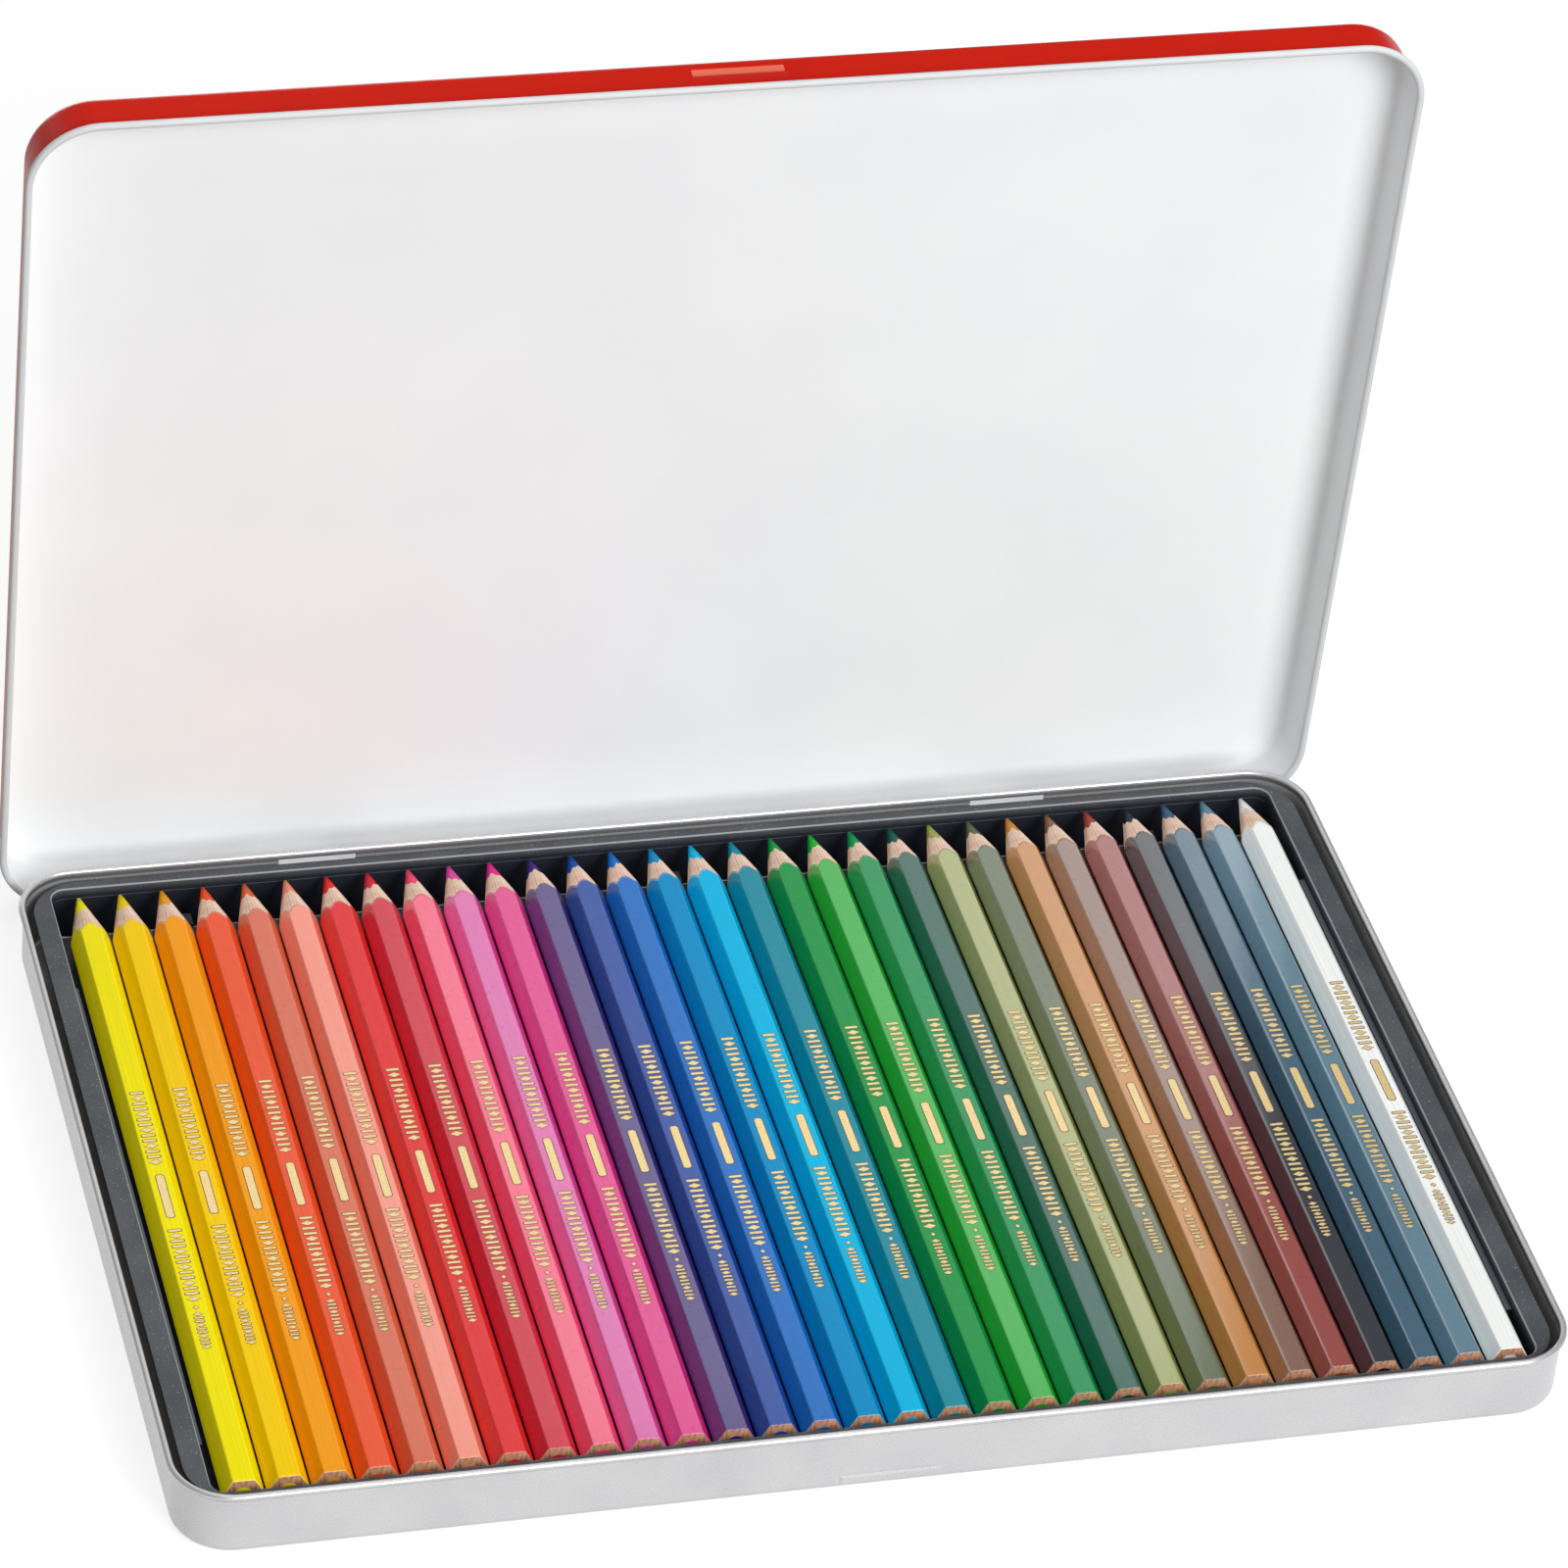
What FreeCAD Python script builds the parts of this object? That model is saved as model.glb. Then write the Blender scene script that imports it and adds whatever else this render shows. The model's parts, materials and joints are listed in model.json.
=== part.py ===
"""Flat hinged tin of colour pencils: drawn pan, hinged lid, formed tray and a row of sharpened pencils."""
import FreeCAD, Part
import math
import os
import Sketcher

Vector = FreeCAD.Vector
Rotation = FreeCAD.Rotation

# Driving dimensions, in millimetres and degrees
SIZES = {
    "pencil_count": 30,
    "pencil_pitch": 8.2,
    "pencil_length": 175.0,
    "pencil_flats": 6.9,
    "pencil_edge_radius": 0.8,
    "cone_half_angle": 14.0,
    "lead_diameter": 3.6,
    "lead_tip_diameter": 0.7,
    "sheet": 0.3,
    "base_height": 14.4,
    "base_corner_radius": 11.0,
    "base_bend_radius": 2.0,
    "bead_diameter": 1.3,
    "bead_inset": 0.1,
    "ridge_width": 20.0,
    "ridge_height": 1.9,
    "ridge_rise": 1.7,
    "ridge_proud": 0.5,
    "ridge_end_taper": 1.0,
    "ridge_side_taper": 0.35,
    "lid_clearance": 0.6,
    "lid_depth": 11.1,
    "lid_bend_radius": 2.0,
    "lid_rest_gap": 0.5,
    "lid_open_angle": 86.0,
    "hem_diameter": 1.44,
    "hem_inset": 0.1,
    "catch_width": 20.0,
    "catch_height": 3.0,
    "catch_rise": 5.4,
    "catch_depth": 0.36,
    "catch_end_taper": 1.2,
    "catch_side_taper": 0.5,
    "hinge_offset": 70.7,
    "tongue_width": 14.6,
    "knuckle_clearance": 0.07,
    "tongue_side_gap": 0.4,
    "window_margin": 0.2,
    "slot_height": 3.4,
    "tray_sheet": 0.5,
    "tray_side_gap": 1.9,
    "tray_end_gap": 0.8,
    "tray_floor_gap": 0.1,
    "flange_drop": 2.0,
    "row_side_gap": 5.6,
    "flange_side_width": 4.1,
    "flange_end_width": 2.1,
    "pocket_corner_radius": 3.0,
    "pocket_lip_radius": 0.35,
    "pencil_end_gap": 0.5,
    "pencil_tip_gap": 1.3,
    "pencil_seat_gap": 0.1,
    "pencil_protrusion": 0.25,
    "trough_reach": 8.4,
    "divider_height": 1.4,
    "divider_width": 2.6,
    "divider_end_gap": 1.0,
    "rail_width": 1.0,
    "rail_height": 2.8,
    "rail_length": 133.0,
    "rail_back_setback": 28.0,
    "post_width": 2.0,
    "post_reach": 3.0,
    "post_rise": 0.9,
    "post_step_pencils": 12,
    "foot_width": 6.0,
    "foot_setback": 18.0,
    "foot_length": 220.0,
    "foot_corner_radius": 2.5,
}

# Sizes that follow from the driving dimensions
WORKED = {
    "pocket_width": "(sizes.pencil_count - 1) * sizes.pencil_pitch + 2 * sizes.row_side_gap",
    "pocket_depth": "sizes.pencil_length + sizes.pencil_end_gap + sizes.pencil_tip_gap",
    "base_width": "pocket_width + 2 * (sizes.flange_side_width + sizes.tray_side_gap + sizes.sheet)",
    "base_depth": "pocket_depth + 2 * (sizes.flange_end_width + sizes.tray_end_gap + sizes.sheet)",
    "bead_radius": "sizes.bead_diameter / 2",
    "bead_reach": "sizes.bead_diameter - sizes.bead_inset - sizes.sheet",
    "bead_height": "sizes.base_height - sizes.bead_diameter / 2",
    "bead_width": "base_width - 2 * sizes.sheet - 2 * sizes.bead_inset + sizes.bead_diameter",
    "bead_depth": "base_depth - 2 * sizes.sheet - 2 * sizes.bead_inset + sizes.bead_diameter",
    "bead_corner": "sizes.base_corner_radius - sizes.sheet - sizes.bead_inset + sizes.bead_diameter / 2",
    "base_inner_width": "base_width - 2 * sizes.sheet",
    "base_inner_depth": "base_depth - 2 * sizes.sheet",
    "base_inner_corner": "sizes.base_corner_radius - sizes.sheet",
    "hem_radius": "sizes.hem_diameter / 2",
    "lid_grow": "bead_reach + sizes.lid_clearance",
    "lid_width": "base_width + 2 * lid_grow + 2 * sizes.sheet",
    "lid_length": "base_depth + 2 * lid_grow + 2 * sizes.sheet",
    "lid_corner": "sizes.base_corner_radius + lid_grow + sizes.sheet",
    "hem_width": "lid_width - 2 * sizes.sheet - 2 * sizes.hem_inset + sizes.hem_diameter",
    "hem_length": "lid_length - 2 * sizes.sheet - 2 * sizes.hem_inset + sizes.hem_diameter",
    "hem_corner": "lid_corner - sizes.sheet - sizes.hem_inset + hem_radius",
    "hinge_back": "hem_length / 2",
    "hinge_height": "sizes.base_height + sizes.lid_rest_gap + sizes.sheet - sizes.lid_depth + hem_radius",
    "knuckle_inner": "hem_radius + sizes.knuckle_clearance",
    "knuckle_outer": "hem_radius + sizes.knuckle_clearance + sizes.sheet",
    "window_foot": "hinge_height + knuckle_outer",
    "window_head": "sizes.base_height - sizes.bead_diameter - sizes.window_margin",
    "flange_top": "sizes.base_height - sizes.flange_drop",
    "flange_width": "base_inner_width - 2 * sizes.tray_side_gap",
    "flange_depth": "base_inner_depth - 2 * sizes.tray_end_gap",
    "flange_corner": "base_inner_corner - sizes.tray_end_gap",
    "pencil_circumradius": "sizes.pencil_flats / sqrt(3)",
    "pencil_axis_height": "sizes.base_height - sizes.pencil_protrusion - sizes.pencil_flats / 2",
    "pencil_bottom": "pencil_axis_height - sizes.pencil_flats / 2",
    "pencil_butt": "sizes.pencil_end_gap - pocket_depth / 2",
    "bed_top": "pencil_bottom - sizes.pencil_seat_gap",
    "bed_back": "pocket_depth / 2 - sizes.trough_reach",
    "well_width": "pocket_width + 2 * sizes.tray_sheet",
    "well_depth": "pocket_depth + 2 * sizes.tray_sheet",
    "well_corner": "sizes.pocket_corner_radius + sizes.tray_sheet",
    "trough_middle": "pocket_depth / 2 - sizes.trough_reach / 2",
    "trough_outer_depth": "sizes.trough_reach + 2 * sizes.tray_sheet",
    "foot_middle": "sizes.foot_setback - pocket_depth / 2",
    "foot_outer_length": "sizes.foot_length + 2 * sizes.tray_sheet",
    "foot_outer_width": "sizes.foot_width + 2 * sizes.tray_sheet",
    "foot_outer_corner": "sizes.foot_corner_radius + sizes.tray_sheet",
    "divider_back": "bed_back - sizes.divider_end_gap",
    "divider_front": "foot_middle + foot_outer_width / 2 + sizes.divider_end_gap",
    "tray_floor": "sizes.sheet + sizes.tray_floor_gap",
    "cone_tangent": "tan(sizes.cone_half_angle * 1 deg)",
    "lead_radius": "sizes.lead_diameter / 2",
    "tip_radius": "sizes.lead_tip_diameter / 2",
    "cone_mouth": "sizes.pencil_flats",
    "cone_foot": "sizes.pencil_length - (cone_mouth - tip_radius) / cone_tangent",
    "lead_shoulder": "sizes.pencil_length - (lead_radius - tip_radius) / cone_tangent",
}

OUT_OF_SHAPE = ("Invalid", "Error")
FULL_TURN = 360.0

doc = FreeCAD.newDocument("pencil_tin")


def make_sheet(name, rows):
    """A sheet of named cells; each value is a plain number or a formula given as text."""
    sheet = doc.addObject("Spreadsheet::Sheet", name)
    for row, (alias, text) in enumerate(rows.items(), start=1):
        sheet.set(f"A{row}", alias)
        sheet.set(f"B{row}", text)
        sheet.setAlias(f"B{row}", alias)
    doc.recompute()
    return sheet


sizes = make_sheet("sizes", {alias: str(value) for alias, value in SIZES.items()})
worked = make_sheet("worked", {alias: "=" + formula for alias, formula in WORKED.items()})


def value(expression):
    """The present number behind an expression, used to start a sketch near its answer."""
    result = worked.evalExpression(expression)
    return float(getattr(result, "Value", result))


def bind(thing, expressions):
    """Tie properties of a document object to the sheets."""
    for path, expression in expressions.items():
        thing.setExpression(path, expression)
    return thing


def origin_plane(body, role):
    return next(plane for plane in body.Origin.OriginFeatures if plane.Role == role)


def new_body(name):
    return doc.addObject("PartDesign::Body", name)


def new_sketch(body, name, role, offsets=None):
    """A sketch on one of the body's own origin planes, moved in that plane's frame."""
    sketch = body.newObject("Sketcher::SketchObject", name)
    sketch.AttachmentSupport = [(origin_plane(body, role), "")]
    sketch.MapMode = "FlatFace"
    for axis, expression in (offsets or {}).items():
        sketch.setExpression(f"AttachmentOffset.Base.{axis}", expression)
    return sketch


def dimension(sketch, name, constraint, expression):
    """A named driving dimension tied to a sheet."""
    index = sketch.addConstraint(constraint)
    sketch.renameConstraint(index, name)
    sketch.setExpression(f"Constraints.{name}", expression)


def rounded_rectangle(body, name, width, depth, radius, offsets=None):
    """A rounded rectangle about the origin of the horizontal plane."""
    sketch = new_sketch(body, name, "XY_Plane", offsets)
    half_x, half_y, corner = value(width) / 2, value(depth) / 2, value(radius)
    near_x, near_y = half_x - corner, half_y - corner
    runs = (
        ((-near_x, -half_y), (near_x, -half_y)),
        ((half_x, -near_y), (half_x, near_y)),
        ((near_x, half_y), (-near_x, half_y)),
        ((-half_x, near_y), (-half_x, -near_y)),
    )
    centres = ((near_x, -near_y), (near_x, near_y), (-near_x, near_y), (-near_x, -near_y))
    quarter = math.pi / 2
    for index in range(4):
        start, end = runs[index]
        sketch.addGeometry(Part.LineSegment(Vector(*start, 0), Vector(*end, 0)))
        circle = Part.Circle(Vector(*centres[index], 0), Vector(0, 0, 1), corner)
        sketch.addGeometry(Part.ArcOfCircle(circle, (index - 1) * quarter, index * quarter))
    for index in range(4):
        line, arc, next_line = 2 * index, 2 * index + 1, (2 * index + 2) % 8
        sketch.addConstraint(Sketcher.Constraint("Tangent", line, 2, arc, 1))
        sketch.addConstraint(Sketcher.Constraint("Tangent", arc, 2, next_line, 1))
        sketch.addConstraint(Sketcher.Constraint("Vertical" if index % 2 else "Horizontal", line))
    for arc in (3, 5, 7):
        sketch.addConstraint(Sketcher.Constraint("Equal", 1, arc))
    sketch.addConstraint(Sketcher.Constraint("Symmetric", 0, 1, 4, 1, -1, 1))
    dimension(sketch, "corner", Sketcher.Constraint("Radius", 1, corner), radius)
    dimension(sketch, "across", Sketcher.Constraint("DistanceX", 6, 1, 2, 1, 2 * half_x), width)
    dimension(sketch, "along", Sketcher.Constraint("DistanceY", 0, 1, 4, 1, 2 * half_y), depth)
    return sketch


def pad(body, name, sketch, length, reversed_pad=False):
    feature = body.newObject("PartDesign::Pad", name)
    feature.Profile = sketch
    feature.Reversed = reversed_pad
    return bind(feature, {"Length": length})


def pocket(body, name, sketch, length):
    feature = body.newObject("PartDesign::Pocket", name)
    feature.Profile = sketch
    return bind(feature, {"Length": length})


def edges_at(shape, height):
    """Names of the edges that lie wholly at one height."""
    names = []
    for index, edge in enumerate(shape.Edges, start=1):
        box = edge.BoundBox
        if max(abs(box.ZMin - height), abs(box.ZMax - height)) < shape.getTolerance(1) * 10:
            names.append(f"Edge{index}")
    return names


def face_at(shape, height):
    """Name of the level face at one height."""
    for index, face in enumerate(shape.Faces, start=1):
        box = face.BoundBox
        if max(abs(box.ZMin - height), abs(box.ZMax - height)) < shape.getTolerance(1) * 10:
            return f"Face{index}"
    raise RuntimeError(f"no level face at {height}")


def make_pan(name, plan, low, high, bend, closed_at_top):
    """A drawn sheet pan: rounded sides, a bend round the closed end, and one open end."""
    body = new_body(name)
    outline = rounded_rectangle(body, f"{name}_plan", *plan, {"z": low})
    block = pad(body, f"{name}_block", outline, f"{high} - {low}")
    doc.recompute()
    closed_end, open_end = (high, low) if closed_at_top else (low, high)
    rounding = body.newObject("PartDesign::Fillet", f"{name}_bend")
    rounding.Base = (block, edges_at(block.Shape, value(closed_end)))
    bind(rounding, {"Radius": bend})
    doc.recompute()
    shell = body.newObject("PartDesign::Thickness", f"{name}_shell")
    shell.Base = (rounding, [face_at(rounding.Shape, value(open_end))])
    shell.Reversed = True
    bind(shell, {"Value": "sizes.sheet"})
    doc.recompute()
    return body


def make_ring(name, width, depth, corner, radius, height):
    """A round wire led once round a rounded rectangle."""
    body = new_body(name)
    spine = rounded_rectangle(body, f"{name}_path", width, depth, corner, {"z": height})
    section = new_sketch(body, f"{name}_section", "YZ_Plane", {"z": f"{corner} - {width} / 2"})
    start = Vector(-value(depth) / 2, value(height), 0)
    section.addGeometry(Part.Circle(start, Vector(0, 0, 1), value(radius)))
    dimension(section, "wire", Sketcher.Constraint("Radius", 0, value(radius)), radius)
    dimension(section, "reach", Sketcher.Constraint("DistanceX", 0, 3, -1, 1, -start.x), f"{depth} / 2")
    dimension(section, "rise", Sketcher.Constraint("DistanceY", -1, 1, 0, 3, start.y), height)
    pipe = body.newObject("PartDesign::AdditivePipe", f"{name}_pipe")
    pipe.Profile = section
    pipe.Spine = (spine, [])
    doc.recompute()
    return body


def make_box(name, low, lengths):
    """A block from its low corner and its three lengths, all given as expressions."""
    box = doc.addObject("Part::Box", name)
    bind(box, dict(zip(("Length", "Width", "Height"), lengths)))
    return bind(box, {f"Placement.Base.{axis}": text for axis, text in zip("xyz", low)})


def make_pressing(name, across, rise, foot_size, tapers, crown_far):
    """A raised field with sloping sides: the level face at one end of its run along Y is the smaller crown."""
    width, height = foot_size
    end_taper, side_taper = tapers
    foot = (f"-{width} / 2", f"{width} / 2", rise, f"{rise} + {height}")
    crown = (f"{foot[0]} + {end_taper}", f"{foot[1]} - {end_taper}", f"{rise} + {side_taper}",
             f"{rise} + {height} - {side_taper}")
    near, far = (foot, crown) if crown_far else (crown, foot)
    field = doc.addObject("Part::Wedge", name)
    bind(field, dict(zip(("Ymin", "Ymax"), across)))
    bind(field, dict(zip(("Xmin", "Xmax", "Zmin", "Zmax"), near)))
    return bind(field, dict(zip(("X2min", "X2max", "Z2min", "Z2max"), far)))


def make_rod(name, low, radius, length):
    """A round bar along X from the centre of its left end."""
    rod = doc.addObject("Part::Cylinder", name)
    rod.Placement = FreeCAD.Placement(Vector(), Rotation(Vector(0, 1, 0), FULL_TURN / 4))
    bind(rod, {"Radius": radius, "Height": length})
    return bind(rod, {f"Placement.Base.{axis}": text for axis, text in zip("xyz", low)})


def fuse(name, pieces):
    joined = doc.addObject("Part::MultiFuse", name)
    joined.Shapes = pieces
    return joined


def cut(name, whole, tools):
    result = doc.addObject("Part::Cut", name)
    result.Base = whole
    result.Tool = tools[0] if len(tools) == 1 else fuse(f"{name}_tools", tools)
    return result


HINGES = {"left": "-1", "right": "1"}


def make_tongue(side, sign):
    """A strip bent out of the back wall and curled round the hem of the lid."""
    left = f"{sign} * sizes.hinge_offset - sizes.tongue_width / 2"
    centre = (left, "worked.hinge_back", "worked.hinge_height")
    outer = make_rod(f"knuckle_outer_{side}", centre, "worked.knuckle_outer", "sizes.tongue_width")
    inner = make_rod(f"knuckle_inner_{side}", centre, "worked.knuckle_inner", "sizes.tongue_width")
    opening = make_box(
        f"knuckle_opening_{side}",
        (left, "worked.hinge_back - worked.knuckle_outer", "worked.hinge_height - worked.knuckle_outer / 2"),
        ("sizes.tongue_width", "worked.knuckle_outer", "worked.knuckle_outer * 3 / 2"),
    )
    curl = cut(f"knuckle_{side}", outer, [inner, opening])
    root = make_box(
        f"tongue_root_{side}",
        (left, "worked.base_inner_depth / 2", "worked.hinge_height + worked.knuckle_inner"),
        ("sizes.tongue_width", "worked.hinge_back - worked.base_inner_depth / 2", "sizes.sheet"),
    )
    return [curl, root]


def make_window(side, sign):
    """The opening that a tongue leaves in the back wall."""
    width = "(sizes.tongue_width + 2 * sizes.tongue_side_gap)"
    return make_box(
        f"hinge_window_{side}",
        (
            f"{sign} * sizes.hinge_offset - {width} / 2",
            "worked.base_inner_depth / 2 - sizes.sheet",
            "worked.window_foot",
        ),
        (width, "3 * sizes.sheet", "worked.window_head - worked.window_foot"),
    )


def make_tin_base():
    """The lower pan with its rolled rim, thumb ridge, hinge windows and curled tongues."""
    plan = ("worked.base_width", "worked.base_depth", "sizes.base_corner_radius")
    pan = make_pan("base_pan", plan, "0", "worked.bead_height", "sizes.base_bend_radius", False)
    bead = make_ring("base_bead", "worked.bead_width", "worked.bead_depth", "worked.bead_corner",
                     "worked.bead_radius", "worked.bead_height")
    tapers = ("sizes.ridge_end_taper", "sizes.ridge_side_taper")
    face = "-worked.base_depth / 2"
    ridge = make_pressing(
        "thumb_ridge", (f"{face} - sizes.ridge_proud", f"{face} + sizes.sheet / 2"), "sizes.ridge_rise",
        ("sizes.ridge_width", "sizes.ridge_height"), tapers, False,
    )
    hollow = make_pressing(
        "thumb_ridge_hollow", (f"{face} - sizes.ridge_proud + sizes.sheet", f"{face} + 2 * sizes.sheet"),
        "(sizes.ridge_rise + sizes.sheet)",
        ("(sizes.ridge_width - 2 * sizes.sheet)", "(sizes.ridge_height - 2 * sizes.sheet)"), tapers, False,
    )
    ridged = fuse("base_ridged", [pan, ridge])
    opened = cut("base_opened", ridged, [hollow] + [make_window(*hinge) for hinge in HINGES.items()])
    tongues = [piece for hinge in HINGES.items() for piece in make_tongue(*hinge)]
    return fuse("tin_base", [opened, bead] + tongues)


def make_tin_lid():
    """The lid, drawn about its own centre with the open rim at height zero, then swung open."""
    plan = ("worked.lid_width", "worked.lid_length", "worked.lid_corner")
    pan = make_pan("lid_pan", plan, "worked.hem_radius", "sizes.lid_depth", "sizes.lid_bend_radius", True)
    tapers = ("sizes.catch_end_taper", "sizes.catch_side_taper")
    face = "-worked.lid_length / 2"
    bump = make_pressing(
        "catch_bump",
        (f"{face} + sizes.sheet / 2", f"{face} + sizes.sheet + sizes.catch_depth"),
        "sizes.catch_rise",
        ("sizes.catch_width", "sizes.catch_height"), tapers, True,
    )
    dent = make_pressing(
        "catch_dent",
        (f"{face} - sizes.sheet / 2", f"{face} + sizes.catch_depth"),
        "(sizes.catch_rise + sizes.sheet)",
        ("(sizes.catch_width - 2 * sizes.sheet)", "(sizes.catch_height - 2 * sizes.sheet)"), tapers, True,
    )
    width = "(sizes.tongue_width + 2 * sizes.tongue_side_gap)"
    slots = [make_box(
        f"lid_slot_{side}",
        (f"{sign} * sizes.hinge_offset - {width} / 2", "worked.lid_length / 2 - 2 * sizes.sheet", "0"),
        (width, "3 * sizes.sheet", "sizes.slot_height"),
    ) for side, sign in HINGES.items()]
    shaped = cut("lid_shaped", fuse("lid_bumped", [pan, bump]), [dent] + slots)
    hem = make_ring("lid_hem", "worked.hem_width", "worked.hem_length", "worked.hem_corner",
                    "worked.hem_radius", "worked.hem_radius")
    lid = fuse("tin_lid", [shaped, hem])
    lid.Placement = FreeCAD.Placement(Vector(), Rotation(Vector(1, 0, 0), -SIZES["lid_open_angle"]))
    swing = "(sizes.lid_open_angle * 1 deg)"
    return bind(lid, {
        "Placement.Rotation.Angle": "-sizes.lid_open_angle * 1 deg",
        "Placement.Base.y": f"worked.hinge_back * (1 - cos{swing}) - worked.hem_radius * sin{swing}",
        "Placement.Base.z": (f"worked.hinge_height + worked.hinge_back * sin{swing} "
                             f"- worked.hem_radius * cos{swing}"),
    })


def polygon(body, name, role, corners, offsets=None):
    """A closed outline whose corners are pairs of expressions."""
    sketch = new_sketch(body, name, role, offsets)
    points = [Vector(value(across), value(up), 0) for across, up in corners]
    count = len(points)
    for index in range(count):
        sketch.addGeometry(Part.LineSegment(points[index], points[(index + 1) % count]))
    for index in range(count):
        sketch.addConstraint(Sketcher.Constraint("Coincident", index, 2, (index + 1) % count, 1))
    for index, (across, up) in enumerate(corners):
        reach_x = Sketcher.Constraint("DistanceX", -1, 1, index, 1, points[index].x)
        reach_y = Sketcher.Constraint("DistanceY", -1, 1, index, 1, points[index].y)
        dimension(sketch, f"across_{index}", reach_x, across)
        dimension(sketch, f"up_{index}", reach_y, up)
    return sketch


def rectangle(body, name, low, high, height):
    """A plan rectangle between two corners at one height."""
    corners = [low, (high[0], low[1]), high, (low[0], high[1])]
    return polygon(body, name, "XY_Plane", corners, {"z": height})


def make_pencil_tray():
    """The formed tray: flange, pencil well, ridged bed, tip trough, foot channel, side rails and posts."""
    body = new_body("pencil_tray")
    trough = ("worked.pocket_width", "sizes.trough_reach", "sizes.pocket_corner_radius")
    trough_outer = ("worked.well_width", "worked.trough_outer_depth", "worked.well_corner")
    foot = ("sizes.foot_length", "sizes.foot_width", "sizes.foot_corner_radius")
    foot_outer = ("worked.foot_outer_length", "worked.foot_outer_width", "worked.foot_outer_corner")
    well = ("worked.pocket_width", "worked.pocket_depth", "sizes.pocket_corner_radius")
    well_outer = ("worked.well_width", "worked.well_depth", "worked.well_corner")
    flange = ("worked.flange_width", "worked.flange_depth", "worked.flange_corner")
    leg = "worked.bed_top - worked.tray_floor"
    raised = (
        ("well_block", well_outer, "0", "worked.bed_top - sizes.tray_sheet",
         "worked.flange_top - worked.bed_top + sizes.tray_sheet"),
        ("flange_plate", flange, "0", "worked.flange_top - sizes.tray_sheet", "sizes.tray_sheet"),
        ("trough_block", trough_outer, "worked.trough_middle", "worked.tray_floor", leg),
        ("foot_block", foot_outer, "worked.foot_middle", "worked.tray_floor", leg),
    )
    sunk = (
        ("well_hollow", well, "0", "worked.flange_top", "worked.flange_top - worked.bed_top"),
        ("trough_hollow", trough, "worked.trough_middle", "worked.bed_top", f"{leg} - sizes.tray_sheet"),
        ("foot_hollow", foot, "worked.foot_middle", "worked.bed_top", f"{leg} - sizes.tray_sheet"),
    )
    for make, features in ((pad, raised), (pocket, sunk)):
        for name, plan, along, height, length in features:
            outline = rounded_rectangle(body, f"{name}_plan", *plan, {"y": along, "z": height})
            make(body, name, outline, length)
            doc.recompute()
    add_lip(body)
    add_rails(body)
    add_posts(body)
    add_dividers(body)
    return body


def add_lip(body):
    """The rounding where the flange turns down into the well."""
    formed = body.Tip
    reach_x = value("(worked.pocket_width + worked.well_width) / 4")
    reach_y = value("(worked.pocket_depth + worked.well_depth) / 4")
    inner = []
    for name in edges_at(formed.Shape, value("worked.flange_top")):
        box = formed.Shape.getElement(name).BoundBox
        if max(box.XMax, -box.XMin) < reach_x and max(box.YMax, -box.YMin) < reach_y:
            inner.append(name)
    lip = body.newObject("PartDesign::Fillet", "well_lip")
    lip.Base = (formed, inner)
    bind(lip, {"Radius": "sizes.pocket_lip_radius"})
    doc.recompute()


def add_rails(body):
    """A low rail along each end wall of the well."""
    wall = "worked.pocket_width / 2"
    back = "worked.pocket_depth / 2 - sizes.rail_back_setback"
    front = f"{back} - sizes.rail_length"
    for side, near, far in (
        ("left", f"-{wall} - sizes.tray_sheet / 2", f"-{wall} + sizes.rail_width"),
        ("right", f"{wall} - sizes.rail_width", f"{wall} + sizes.tray_sheet / 2"),
    ):
        outline = rectangle(body, f"rail_{side}_plan", (near, front), (far, back),
                            "worked.bed_top - sizes.tray_sheet / 2")
        pad(body, f"rail_{side}", outline, "sizes.rail_height + sizes.tray_sheet / 2")
        doc.recompute()


def add_posts(body):
    """Three posts at the back of the bed, standing in the tip trough between pencils."""
    step = "sizes.post_step_pencils * sizes.pencil_pitch"
    for side, middle in (("left", f"-{step}"), ("middle", "0"), ("right", step)):
        low = (f"{middle} - sizes.post_width / 2", "worked.bed_back - sizes.tray_sheet")
        high = (f"{middle} + sizes.post_width / 2", "worked.bed_back + sizes.post_reach")
        outline = rectangle(body, f"post_{side}_plan", low, high, "worked.tray_floor")
        pad(body, f"post_{side}", outline, "worked.bed_top - worked.tray_floor + sizes.post_rise")
        doc.recompute()


def add_dividers(body):
    """One low ridge of the bed, repeated between all neighbouring pencils."""
    left = "-(sizes.pencil_count / 2 - 1) * sizes.pencil_pitch"
    foot = "worked.bed_top - sizes.tray_sheet / 2"
    corners = [
        (f"{left} - sizes.divider_width / 2", foot),
        (f"{left} + sizes.divider_width / 2", foot),
        (left, "worked.bed_top + sizes.divider_height"),
    ]
    outline = polygon(body, "divider_section", "XZ_Plane", corners, {"z": "-worked.divider_back"})
    ridge = pad(body, "divider", outline, "worked.divider_back - worked.divider_front")
    doc.recompute()
    row = body.newObject("PartDesign::LinearPattern", "divider_row")
    row.Originals = [ridge]
    row.Direction = (outline, ["H_Axis"])
    bind(row, {
        "Length": "(sizes.pencil_count - 2) * sizes.pencil_pitch",
        "Occurrences": "sizes.pencil_count - 1",
    })
    body.Tip = row
    doc.recompute()


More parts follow.
